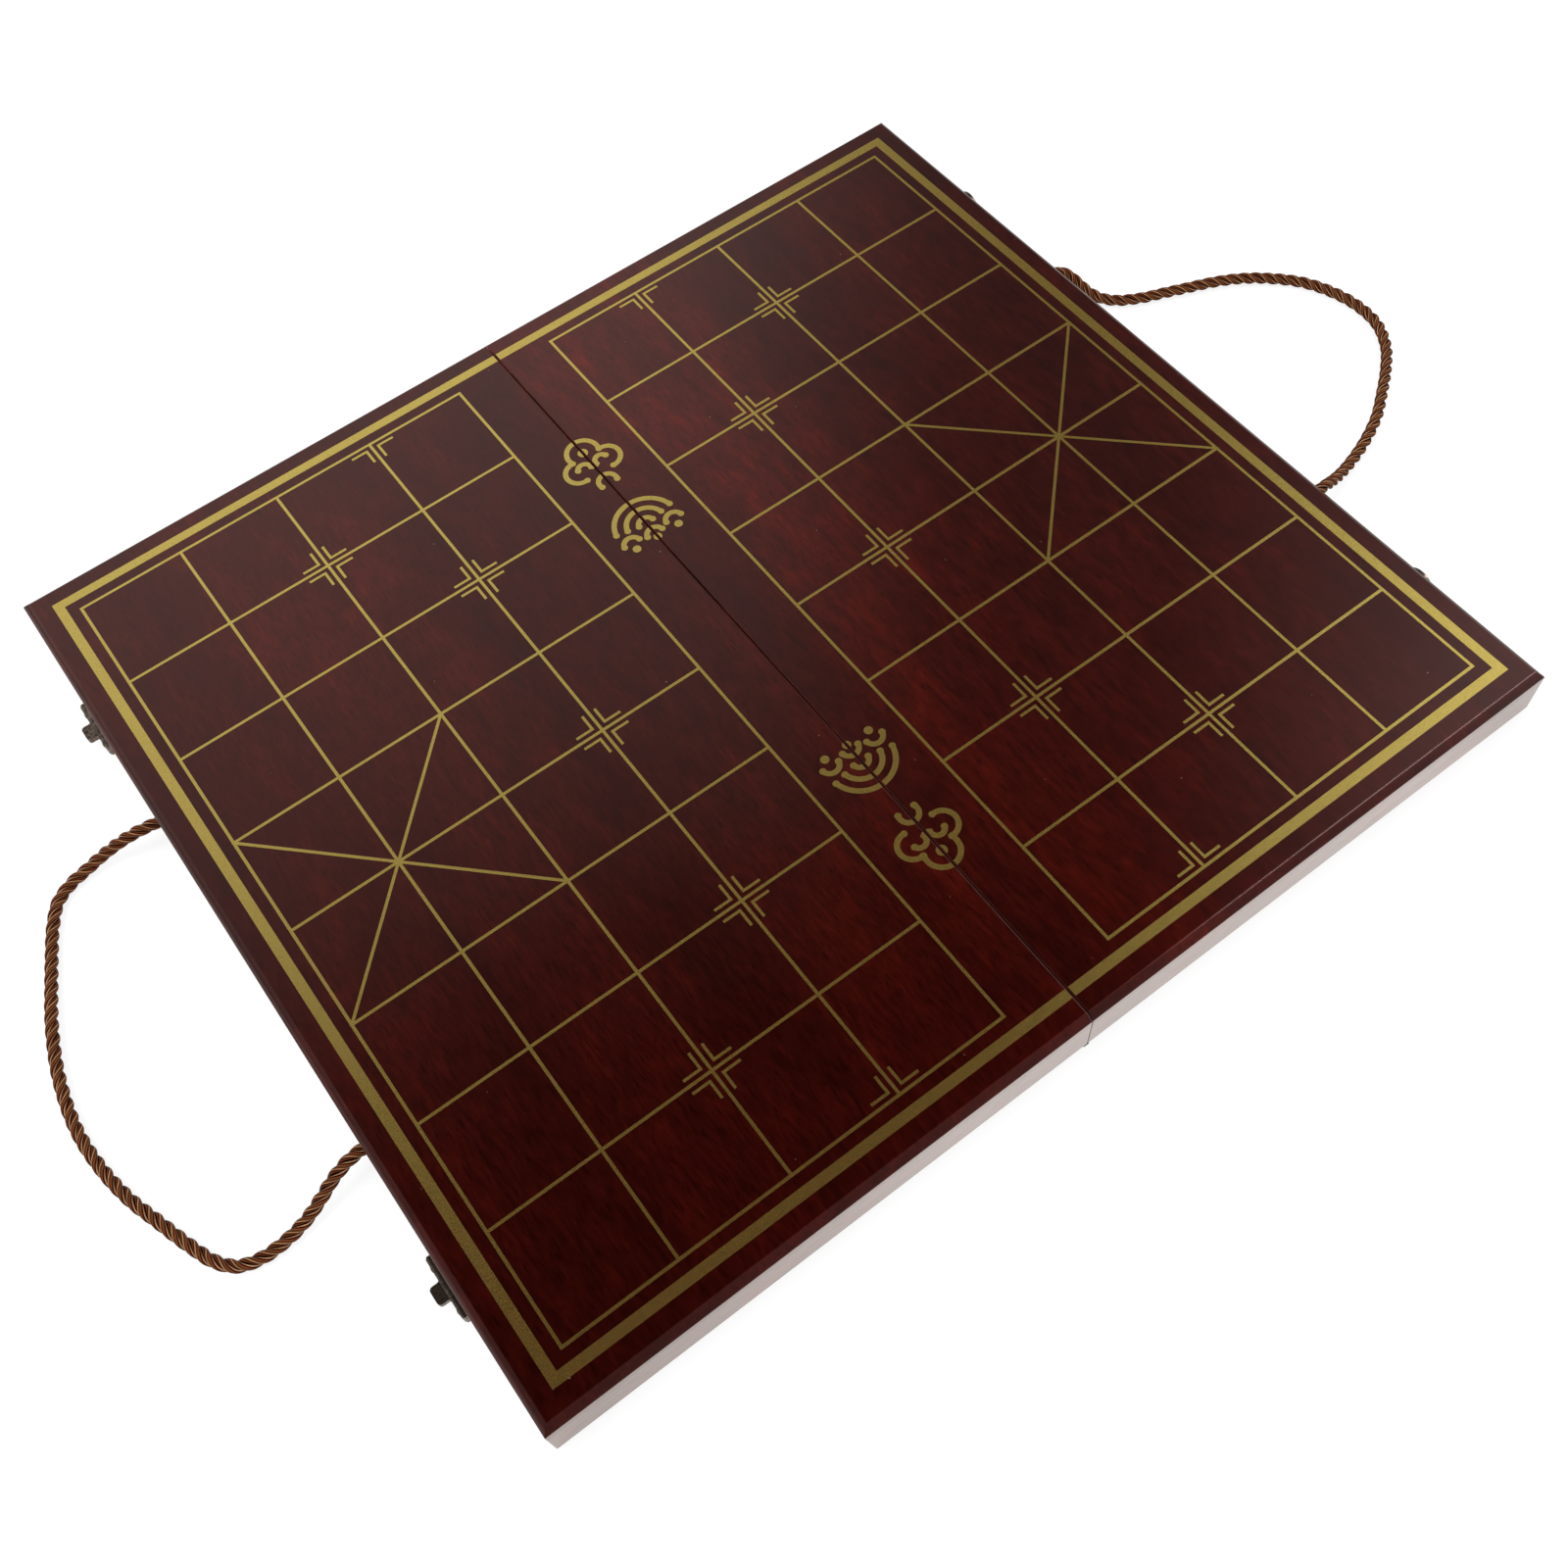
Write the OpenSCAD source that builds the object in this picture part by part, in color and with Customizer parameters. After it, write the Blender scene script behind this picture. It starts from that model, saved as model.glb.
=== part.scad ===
// Folding box for a river chess game, opened flat with its playing face up.
// X runs across the fold, Y along the fold and Z up. The origin is on the surface
// that the board stands on, under the middle of the fold. All sizes are in millimetres.

/* [Board] */
// Width of the opened board, across the fold
board_w = 440; // [434:1:480]
// Length of the board, along the fold
board_l = 396; // [390:1:430]

/* [Playing grid] */
// Distance between neighbouring lines, across the fold
cell_across = 44.5; // [40:0.5:45]
// Distance between neighbouring lines, along the fold
cell_along = 44.8; // [40:0.1:45.5]
// Width of the open river between the two halves of the grid
river_w = 46.4; // [40:0.1:52]
// Width of a grid line
line_w = 1.2; // [0.6:0.1:2]
// Distance from the grid's outer line to the border band
band_gap = 5; // [3:0.1:7]
// Width of the border band
band_w = 4; // [2:0.1:6]
// Distance from a grid line's middle to the nearest edge of a corner mark
mark_gap = 2.2; // [1.5:0.1:4]
// Length of a leg of a corner mark
mark_leg = 7.7; // [4:0.1:10]
// Width of a leg of a corner mark
mark_w = 1.1; // [0.6:0.1:2]
// Thickness of the gold print
print_t = 0.1; // [0.08:0.01:0.2]

/* [River ornaments] */
// Distance from the board's middle to the inner ornament of each pair
ornament_near = 70; // [55:1:80]
// Distance from the board's middle to the outer ornament of each pair
ornament_far = 112; // [100:1:125]
// Width of the ornaments' strokes
stroke_w = 2.2; // [1.2:0.1:3]
// Radius of the ornaments' large curls, to the middle of the stroke
curl_r = 5.6; // [5:0.1:6.5]

/* [Panels and walls] */
// Depth of one half, from its rim to the playing face
tray_h = 24; // [23:0.5:32]
// Thickness of the playing panel
panel_t = 6; // [5:0.5:7]
// Thickness of the walls
wall_t = 9; // [7:0.5:12]
// Thickness of the flocked card in the trays
lining_t = 1; // [0.5:0.1:1.5]
// Gap between the lining and the walls
lining_clear = 0.2; // [0:0.1:1]
// Width of the bevel round the outer edges, measured on the playing face
bevel = 3; // [1:0.1:4]
// Height of the bevel's bulge over a straight chamfer
bevel_bulge = 0.15; // [0.1:0.05:0.6]
// Radius of the rounded edges at the fold
fold_round = 0.4; // [0.1:0.1:1]
// Gap between the two halves when the board is flat
fold_gap = 0.5; // [0.2:0.1:1]
// Gap between the two rims when the box is closed
rim_gap = 0.2; // [0.1:0.1:0.5]

/* [Fold hinges] */
// Distance from the board's ends to the middle of each hinge
hinge_inset = 78; // [48:1:108]
// Length of a hinge
hinge_l = 30; // [24:1:50]
// Width of a hinge leaf, from the pin's middle
leaf_w = 8; // [7:0.5:9]
// Thickness of a hinge leaf
leaf_t = 1; // [0.8:0.1:1.1]
// Radius of the knuckles
knuckle_r = 1.25; // [1.2:0.05:1.5]
// Gap beside each knuckle
knuckle_gap = 0.15; // [0.1:0.05:0.3]
// Gap round the knuckles in the wood, and round the leaf's edges
seat_clear = 0.15; // [0.1:0.05:0.3]
// Radius of the hinge pin
pin_r = 0.6; // [0.4:0.05:0.7]
// Gap round the pins, in the hinges and in the hasps
pin_clear = 0.04; // [0.02:0.01:0.08]

/* [Hinge screws] */
// Radius of a screw's shank
screw_r = 0.8; // [0.6:0.05:1]
// Radius of a screw's head
screw_head_r = 1.5; // [1.3:0.1:1.8]
// Length of a screw's shank in the wood
screw_l = 6; // [4:0.5:12]
// Distance from the pin's middle to the screws
screw_x = 5; // [4:0.1:5.5]
// Distance between the two screws of a leaf
screw_pitch = 20; // [12:0.5:22]
// Width and depth of a screw's slot
screw_slot = 0.4; // [0.3:0.05:0.6]
// Gap round screws and nails
fastener_clear = 0.05; // [0.03:0.01:0.1]

/* [Latches] */
// Distance from the board's ends to the middle of each latch
latch_inset = 61.5; // [30:0.5:75]
// Width of the catch plates and of the hasps' base leaves
plate_w = 24.5; // [23:0.5:32]
// Height of the catch plates
catch_h = 6.5; // [5.5:0.1:9]
// Thickness of the catch plates
catch_t = 2.7; // [2:0.1:3]
// Chamfer round the catch plates
catch_chamfer = 0.7; // [0.2:0.1:1]
// Width of the lug
lug_w = 7; // [5:0.1:8]
// Thickness of the lug
lug_t = 2.5; // [2:0.1:3]
// Distance that the lug stands out of its plate
lug_out = 4.2; // [4:0.1:6]
// Radius of the lug's two outer corners
lug_round = 1.4; // [1:0.1:2.5]
// Radius of the hollow corners at the lug's root
lug_fillet = 0.9; // [0.4:0.1:0.9]
// Height of the middle of the catch plate and its lug over the rim
lug_rise = 7; // [6:0.1:9]

/* [Hasps] */
// Height of the hasp's pin over the rim
hasp_rise = 3; // [2.6:0.1:4]
// Distance from the wall to the hasp's pin
hasp_out = 3.2; // [3.1:0.1:3.5]
// Radius of the hasp's barrel
barrel_r = 1.8; // [1.5:0.1:1.8]
// Thickness of the hasp's sheet metal
hasp_t = 1; // [0.8:0.1:1]
// Distance from the pin's middle to the flap's middle plane
flap_offset = 0.9; // [0.8:0.1:0.9]
// Height of the hasp's base leaf over the pin
base_h = 10; // [8:0.5:14]
// Length of the middle knuckle, on the flap
flap_knuckle_l = 10.9; // [8:0.1:14]
// Radius of the hasp's pin
hasp_pin_r = 0.8; // [0.5:0.05:1]
// Gap round the lug in the flap's slot
slot_clear = 1.1; // [1:0.1:1.5]
// Width of metal between the slot and the tip of the flap
tip_w = 3.4; // [2:0.1:5]
// Radius of the flap's tip
tip_r = 6.5; // [6:0.1:8]
// Straight length of the flap's wide end
flap_shoulder = 4; // [3:0.1:6]

/* [Nails] */
// Radius of a nail's shank
nail_r = 0.7; // [0.5:0.05:1]
// Length of a nail in the wood
nail_l = 7; // [4:0.5:8]
// Radius of a nail's head
nail_head_r = 1.6; // [1.2:0.1:2]
// Height of a nail's domed head
nail_dome = 0.5; // [0.3:0.05:0.5]
// Distance between the two nails of a plate
nail_pitch = 17; // [15:0.5:19]
// Distance from the heads of the hasps' nails to the upper edge of their leaf
nail_edge = 1.4; // [1:0.1:2]

/* [Rope handles] */
// Diameter of the rope
rope_d = 5; // [4:0.1:6]
// Distance from the board's middle to each rope hole
rope_y = 80; // [60:1:95]
// Depth of the rope holes' middle under the playing face
rope_drop = 12.5; // [11:0.1:14]
// Gap round the rope in its hole
rope_clear = 0.3; // [0.1:0.1:0.5]
// Radius of the knots inside the trays
knot_r = 6.2; // [5:0.1:6.5]
// Distance that the knots hang under the middle of their holes
knot_sag = 1.4; // [1.3:0.1:2]
// Distance from the wall to the middle of a knot
knot_out = 4.4; // [3:0.1:5]

/* [Hidden] */
$fn = 64;

// Overlap of cutters with the faces that they pass through
over = 1;
// Radius of the balls that end the ornaments' strokes, and of the drops under the waves, in stroke widths
ball = 0.62;
drop = 0.8;
// Angle at which the ornaments' arcs are cut off behind the fold
behind_fold = 110;
// Angles of the free ends of a cloud's crown and foot, its curl, and the two ends of its inner turn
crown_end = -20;
curl_end = 95;
turn_from = 20;
turn_to = 215;
// Excess of the crown's radius over the curl's, and size of the cloud's middle, in stroke widths
crown_over = 0.55;
heart = 1;
// A cloud's inner turn and foot, and the depths of its curl and its foot, in radii of the curl
turn_size = 0.5;
foot_size = 0.7;
curl_depth = 0.4;
foot_depth = 2.4;
// Angles of the free ends of the large waves and the small ones
wave_end = 12;
ripple_end = 10;
// What the waves' steps, radii and small waves are less than a curl or a step, in stroke widths
step_less = 0.3;
wave_less = 0.7;
ripple_less = 0.6;
// Places of the small waves and the drops, in steps
ripple_x = 2.05;
ripple_depth = 1.3;
drop_depth = 1.6;
// Colours of the materials
lacquer = "#3a1512";
gold = "#b8a550";
flock = "#1d3a2c";
bronze = "#4b4238";
brass = "#b58d3d";
steel = "#a9abad";
silk = "#7a4426";

// Grid and plan of one half, measured from the fold
river_x = river_w / 2;
grid_x = river_x + 4 * cell_across;
grid_y = 4 * cell_along;
half_w = board_w / 2;
half_l = board_l / 2;
fold_x = fold_gap / 2;
hinge_y = half_l - hinge_inset;
latch_y = half_l - latch_inset;

// Heights. The knuckles stand on the ground, and the rims lie just over the pin's axis.
axis_z = knuckle_r;
rim_z = axis_z + rim_gap / 2;
top_z = rim_z + tray_h;
panel_z = top_z - panel_t;
leaf_top_z = axis_z + knuckle_r;
leaf_z = leaf_top_z - leaf_t;
rope_z = top_z - rope_drop;

// Circle of the bevel, through both ends of its chord
bevel_chord = bevel * sqrt(2);
bevel_r = (pow(bevel_chord / 2, 2) + pow(bevel_bulge, 2)) / (2 * bevel_bulge);
bevel_centre = bevel / 2 + (bevel_r - bevel_bulge) / sqrt(2);

// Gap between the flap's plate and the base's knuckles
flap_clear = 0.25;
// Difference between the radius of the flap's tip and that of the circle that the flap's sides run into
tip_bite = 0.12;

// Catch plates and hasps
lug_z = rim_z + lug_rise;
hasp_z = rim_z + hasp_rise;
hasp_x = half_w + hasp_out;
slot_mid = hasp_rise + lug_rise + rim_gap;
slot_w = lug_w + 2 * slot_clear;
slot_h = lug_t + 2 * slot_clear;
flap_l = slot_mid + slot_h / 2 + tip_w;
tip_v = flap_l - tip_r;
base_knuckle_l = (plate_w - flap_knuckle_l) / 2 - knuckle_gap;
hasp_nail_z = hasp_z + base_h - nail_edge - nail_head_r;

// Tangent from the flap's shoulder to a circle just inside that of its tip, so that the side runs into the tip
tip_dx = plate_w / 2;
tip_dv = flap_shoulder - tip_v;
tip_far = sqrt(tip_dx * tip_dx + tip_dv * tip_dv);
tip_turn = atan2(tip_dv, tip_dx) + acos((tip_r - tip_bite) / tip_far);
tip_point = [0, tip_v] + (tip_r - tip_bite) * [cos(tip_turn), sin(tip_turn)];

// Route of the left rope's middle on the ground, from its back hole to its front hole.
// The first two and last two points lie in the hole and straight outside it.
left_route = [
    [-228, 81, 12.7], [-236, 83, 10.2], [-244, 85, 6.2], [-252, 85, 3.7],
    [-260, 83.5, 3.0], [-267, 79.5, 3.0], [-273, 71, 3.0], [-278, 61, 3.0],
    [-283, 50, 3.2], [-290, 33, 3.95], [-296, 14, 3.5], [-299, -7, 3.2],
    [-298, -25, 3.5], [-294.5, -42, 3.95], [-290, -55, 3.95], [-285, -69, 3.2],
    [-280.5, -79, 3.0], [-275, -85, 3.0], [-267.5, -87.5, 3.0], [-258, -87.5, 3.2],
    [-249, -86, 4.4], [-241, -84, 7.6], [-234, -82, 10.9], [-227, -80.5, 12.7]
];
right_route = [
    [227, 79.5, 12.2], [231, 77.5, 9.6], [233.5, 73.5, 6.6], [235, 68.5, 4.3],
    [237, 63, 3.3], [239.5, 59, 3.2], [243, 55.5, 3.2], [247.5, 52.5, 3.3],
    [253, 49.5, 3.4], [260, 46.5, 3.5], [270, 42, 3.7], [283, 36, 3.95],
    [293, 30, 3.95], [303, 22.5, 3.2], [312, 12, 3.0], [317.5, 0, 3.0],
    [320, -13, 3.0], [318.5, -26, 3.0], [312, -37.5, 3.0], [302, -47, 3.5],
    [290, -56, 3.95], [279, -63.5, 3.9], [266, -69.5, 3.2], [254, -73.5, 3.4],
    [245, -76, 5.0], [237, -78, 8.4], [230, -79.5, 12.0]
];
// Number of sides of the ropes' tubes
rope_sides = 12;

// Marks, as places in cells: line number from the river, line number along the fold
soldier_marks = [for (j = [-4, -2, 0, 2, 4]) [1, j]];
cannon_marks = [[2, -3], [2, 3]];

function half_route(side, route, stub) =
    let (s = side)
    concat(
        [[s * (half_w - wall_t), rope_y, rope_z], [s * (half_w + stub), rope_y, rope_z]],
        route,
        [[s * (half_w + stub), -rope_y, rope_z], [s * (half_w - wall_t), -rope_y, rope_z]]
    );
function unit(v) = v / norm(v);
function heading(p, i) =
    i == 0 ? unit(p[1] - p[0])
    : i == len(p) - 1 ? unit(p[i] - p[i - 1])
    : unit(unit(p[i] - p[i - 1]) + unit(p[i + 1] - p[i]));
function ring(centre, dir, r, n) =
    let (side = unit(cross([0, 0, 1], dir)), up = cross(dir, side))
    [for (k = [0 : n - 1]) centre + r * (cos(360 * (k + 0.5) / n) * side + sin(360 * (k + 0.5) / n) * up)];

// Tube of one diameter along a route
module tube(route, d, n) {
    m = len(route);
    points = [for (i = [0 : m - 1]) each ring(route[i], heading(route, i), d / 2, n)];
    sides = [
        for (i = [0 : m - 2], k = [0 : n - 1])
            let (a = i * n + k, b = i * n + (k + 1) % n)
            each [[a, a + n, b], [b, a + n, b + n]]
    ];
    first = [for (k = [1 : n - 2]) [0, k, k + 1]];
    last = [for (k = [1 : n - 2]) [(m - 1) * n, (m - 1) * n + k + 1, (m - 1) * n + k]];
    polyhedron(points = points, faces = concat(sides, first, last));
}

// Puts one half's shapes on the left (-1) or on the right (1) of the fold
module on_side(side) {
    if (side < 0) mirror([1, 0, 0]) children();
    else children();
}

// Corner of a plate, less a circle that leaves a rounded edge. It points up and right.
module edge_waste(size, r, centre) {
    difference() {
        translate([-size, -size]) square(size + over);
        translate([-centre, -centre]) circle(r, $fn = 128);
        translate([-size - over, -size - over]) square([size + 2 * over, over]);
        translate([-size - over, -size - over]) square([over, size + 2 * over]);
    }
}

module panel_profile(width, height, left_bevel) {
    difference() {
        square([width, height]);
        translate([width, height]) edge_waste(bevel, bevel_r, bevel_centre);
        if (left_bevel)
            translate([0, height]) mirror([1, 0]) edge_waste(bevel, bevel_r, bevel_centre);
        else
            translate([0, height]) mirror([1, 0]) edge_waste(fold_round, fold_round, fold_round);
    }
}

module play_panel(side) {
    color(lacquer)
    on_side(side)
    intersection() {
        translate([fold_x, half_l, panel_z]) rotate([90, 0, 0])
            linear_extrude(2 * half_l) panel_profile(half_w - fold_x, panel_t, false);
        translate([0, -half_l, panel_z]) rotate([90, 0, 90])
            linear_extrude(half_w) panel_profile(2 * half_l, panel_t, true);
    }
}

// Wall with mitred ends, running along +Y from its middle, with its outer face at x = 0
module mitred_wall(half_length) {
    linear_extrude(panel_z - rim_z)
        polygon([
            [0, -half_length], [0, half_length],
            [-wall_t, half_length - wall_t], [-wall_t, -half_length + wall_t]
        ]);
}

module rope_holes() {
    for (y = [-rope_y, rope_y])
        translate([half_w - wall_t - over, y, rope_z]) rotate([0, 90, 0])
            cylinder(h = wall_t + 2 * over, r = rope_d / 2 + rope_clear);
}

module nail_holes(z) {
    for (y = [-latch_y, latch_y], dy = [-nail_pitch / 2, nail_pitch / 2])
        translate([half_w - nail_l, y + dy, z]) rotate([0, 90, 0])
            cylinder(h = nail_l + over, r = nail_r + fastener_clear);
}

module outer_wall(side) {
    color(lacquer)
    on_side(side)
    difference() {
        translate([half_w, 0, rim_z]) mitred_wall(half_l);
        rope_holes();
        nail_holes(side < 0 ? lug_z : hasp_nail_z);
    }
}

module hinge_seat(y) {
    translate([fold_x - over, y - hinge_l / 2 - seat_clear, rim_z - over])
        cube([leaf_w + seat_clear - fold_x + over, hinge_l + 2 * seat_clear, leaf_top_z - rim_z + over]);
    translate([0, y - hinge_l / 2 - seat_clear, axis_z]) rotate([-90, 0, 0])
        cylinder(h = hinge_l + 2 * seat_clear, r = knuckle_r + seat_clear);
    for (dy = [-screw_pitch / 2, screw_pitch / 2])
        translate([screw_x, y + dy, leaf_top_z - over])
            cylinder(h = screw_l + over, r = screw_r + fastener_clear);
}

module inner_wall(side) {
    color(lacquer)
    on_side(side)
    difference() {
        translate([fold_x, 0, rim_z]) mirror([1, 0, 0]) mitred_wall(half_l);
        hinge_seat(-hinge_y);
        hinge_seat(hinge_y);
    }
}

// Wall across the fold, at the back (1) or at the front (-1)
module end_wall(side, way) {
    color(lacquer)
    on_side(side)
    translate([(fold_x + half_w) / 2, way * half_l, rim_z])
        rotate([0, 0, way * 90]) mitred_wall((half_w - fold_x) / 2);
}

module lining(side) {
    color(flock)
    on_side(side)
    translate([fold_x + wall_t + lining_clear, -half_l + wall_t + lining_clear, panel_z - lining_t])
        cube([
            half_w - fold_x - 2 * wall_t - 2 * lining_clear,
            2 * (half_l - wall_t - lining_clear),
            lining_t
        ]);
}

// Straight printed stroke between two points
module stroke(a, b, w) {
    along = b - a;
    translate(a) rotate(atan2(along[1], along[0]))
        translate([-w / 2, -w / 2]) square([norm(along) + w, w]);
}

// Arc-shaped stroke of radius r about the origin, from one angle to another, with a ball at each of `ends`
module arc_stroke(r, w, from, to, ends) {
    far = 3 * r;
    sector = [for (k = [0 : 6]) let (a = from + k * (to - from) / 6) far * [cos(a), sin(a)]];
    intersection() {
        difference() {
            circle(r + w / 2);
            circle(r - w / 2);
        }
        polygon(concat([[0, 0]], sector));
    }
    for (a = ends)
        translate(r * [cos(a), sin(a)]) circle(ball * w);
}

// One half of a cloud scroll that straddles the fold: a crown, a curl, its inner turn and a foot
module cloud_half() {
    w = stroke_w;
    turn_r = turn_size * curl_r;
    translate([0, curl_r]) {
        arc_stroke(curl_r + crown_over * w, w, crown_end, behind_fold, []);
        circle(heart * w);
    }
    translate([curl_r + ball * w, -curl_depth * curl_r]) {
        arc_stroke(curl_r, w, -curl_end, curl_end, [-curl_end, curl_end]);
        translate([turn_r - curl_r, 0]) arc_stroke(turn_r, w, turn_from, turn_to, [turn_from]);
    }
    translate([0, -foot_depth * curl_r])
        arc_stroke(foot_size * curl_r, w, crown_end, behind_fold, [crown_end]);
}

// One half of a wave that straddles the fold: three arcs one over another, small waves and drops under them
module wave_half() {
    w = stroke_w;
    step = curl_r - step_less * w;
    ripple_r = step - ripple_less * w;
    for (i = [1 : 3])
        arc_stroke(i * step - wave_less * w, w, wave_end, behind_fold, [wave_end]);
    translate([ripple_x * step, -step])
        arc_stroke(ripple_r, w, ripple_end, 180 - ripple_end, [ripple_end, 180 - ripple_end]);
    translate([0, -ripple_depth * step]) arc_stroke(ripple_r, w, ripple_end, behind_fold, [ripple_end]);
    for (x = [0, ripple_x])
        translate([x, -drop_depth] * step) circle(drop * w);
}

module corner_mark(line, row) {
    x = river_x + line * cell_across;
    near = mark_gap;
    for (dx = [-1, 1], dy = [-1, 1])
        if (abs(row + dy) <= 4)
            translate([x, row * cell_along]) scale([dx, dy]) translate([near, near]) {
                square([mark_leg, mark_w]);
                square([mark_w, mark_leg]);
            }
}

module grid_lines() {
    for (i = [0 : 4])
        translate([river_x + i * cell_across - line_w / 2, -grid_y - line_w / 2])
            square([line_w, 2 * grid_y + line_w]);
    for (j = [-4 : 4])
        translate([river_x, j * cell_along - line_w / 2]) square([grid_x - river_x, line_w]);
    for (way = [-1, 1])
        stroke([river_x + 2 * cell_across, -way * cell_along], [grid_x, way * cell_along], line_w);
}

module border_band() {
    outer = band_gap + band_w;
    difference() {
        translate([fold_x, -grid_y - outer]) square([grid_x + outer - fold_x, 2 * (grid_y + outer)]);
        translate([fold_x - over, -grid_y - band_gap])
            square([grid_x + band_gap - fold_x + over, 2 * (grid_y + band_gap)]);
    }
}

module ornaments() {
    intersection() {
        union() {
            translate([0, ornament_far]) cloud_half();
            translate([0, ornament_near]) wave_half();
            translate([0, -ornament_near]) mirror([0, 1]) wave_half();
            translate([0, -ornament_far]) mirror([0, 1]) cloud_half();
        }
        translate([fold_x + fold_round, -half_l]) square([river_x, 2 * half_l]);
    }
}

module gold_print(side) {
    color(gold)
    on_side(side)
    translate([0, 0, top_z])
        linear_extrude(print_t) {
            intersection() {
                border_band();
                translate([fold_x + fold_round, -half_l]) square([half_w, 2 * half_l]);
            }
            grid_lines();
            for (m = concat(soldier_marks, cannon_marks))
                corner_mark(m[0], m[1]);
            ornaments();
        }
}

// Leaf of a fold hinge on the right of the fold, with the knuckles whose numbers are given
module hinge_leaf(side, y, knuckles) {
    knuckle_l = (hinge_l - 4 * knuckle_gap) / 5;
    step = knuckle_l + knuckle_gap;
    root_x = knuckle_r + seat_clear;
    color(brass)
    on_side(side)
    translate([0, y, 0])
    difference() {
        union() {
            translate([root_x, -hinge_l / 2, leaf_z]) cube([leaf_w - root_x, hinge_l, leaf_t]);
            for (k = knuckles)
                translate([0, -hinge_l / 2 + k * step, 0]) {
                    translate([0, 0, leaf_z]) cube([root_x + over, knuckle_l, leaf_t]);
                    translate([0, 0, axis_z]) rotate([-90, 0, 0]) cylinder(h = knuckle_l, r = knuckle_r);
                }
        }
        translate([0, -hinge_l / 2 - over, axis_z]) rotate([-90, 0, 0])
            cylinder(h = hinge_l + 2 * over, r = pin_r + pin_clear);
        for (dy = [-screw_pitch / 2, screw_pitch / 2])
            translate([screw_x, dy, leaf_z]) screw_shape(fastener_clear, over);
    }
}

module hinge_pin(y) {
    color(steel)
    translate([0, y - hinge_l / 2, axis_z]) rotate([-90, 0, 0]) cylinder(h = hinge_l, r = pin_r);
}

// Countersunk screw pointing up, with its head's flat at z = 0
module screw_shape(clear, extra) {
    cylinder(h = leaf_t, r1 = screw_head_r + clear, r2 = screw_r + clear);
    translate([0, 0, -extra]) cylinder(h = leaf_t + extra, r = screw_r + clear);
    translate([0, 0, leaf_t / 2]) cylinder(h = leaf_t / 2 + extra, r = screw_r + clear);
}

module hinge_screws(side) {
    color(brass)
    on_side(side)
    for (y = [-hinge_y, hinge_y], dy = [-screw_pitch / 2, screw_pitch / 2])
        translate([screw_x, y + dy, leaf_z])
        difference() {
            union() {
                cylinder(h = leaf_t, r1 = screw_head_r, r2 = screw_r);
                cylinder(h = leaf_t + screw_l - 2 * fastener_clear, r = screw_r);
            }
            translate([-screw_head_r - over, -screw_slot / 2, -over])
                cube([2 * (screw_head_r + over), screw_slot, screw_slot + over]);
        }
}

// Plate with chamfered edges, standing on the wall's face and centred on the origin
module catch_body() {
    w = plate_w / 2;
    h = catch_h / 2;
    c = catch_chamfer;
    intersection() {
        translate([0, 0, -h]) linear_extrude(2 * h)
            polygon([[0, -w], [catch_t - c, -w], [catch_t, -w + c], [catch_t, w - c], [catch_t - c, w], [0, w]]);
        translate([0, w, 0]) rotate([90, 0, 0]) linear_extrude(2 * w)
            polygon([[0, -h], [catch_t - c, -h], [catch_t, -h + c], [catch_t, h - c], [catch_t - c, h], [0, h]]);
    }
}

module lug() {
    straight = lug_out - lug_round;
    inner_w = lug_w - 2 * lug_round;
    root = lug_w / 2 + lug_fillet;
    translate([catch_t, 0, -lug_t / 2]) linear_extrude(lug_t) {
        translate([-over, -lug_w / 2]) square([straight + over, lug_w]);
        translate([0, -inner_w / 2]) square([lug_out, inner_w]);
        for (s = [-1, 1])
            translate([straight, s * inner_w / 2]) circle(lug_round);
        difference() {
            translate([-over, -root]) square([over + lug_fillet, 2 * root]);
            for (s = [-1, 1])
                translate([lug_fillet, s * root]) circle(lug_fillet);
        }
    }
}

module catch_plate(y) {
    color(bronze)
    on_side(-1)
    difference() {
        translate([half_w, y, lug_z]) {
            catch_body();
            lug();
        }
        for (dy = [-nail_pitch / 2, nail_pitch / 2])
            translate([half_w - over, y + dy, lug_z]) rotate([0, 90, 0])
                cylinder(h = catch_t + 2 * over, r = nail_r + fastener_clear);
    }
}

// Nail whose head lies on a face that is `plate` away from the wall
module nail(plate) {
    dome_r = (pow(nail_head_r, 2) + pow(nail_dome, 2)) / (2 * nail_dome);
    rotate([0, 90, 0]) {
        translate([0, 0, 2 * fastener_clear - nail_l]) cylinder(h = nail_l + plate, r = nail_r);
        intersection() {
            translate([0, 0, plate]) cylinder(h = nail_dome + over, r = nail_head_r);
            translate([0, 0, plate + nail_dome - dome_r]) sphere(dome_r);
        }
    }
}

module nails(side, z, plate) {
    color(bronze)
    on_side(side)
    for (y = [-latch_y, latch_y], dy = [-nail_pitch / 2, nail_pitch / 2])
        translate([half_w, y + dy, z]) nail(plate);
}

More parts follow.
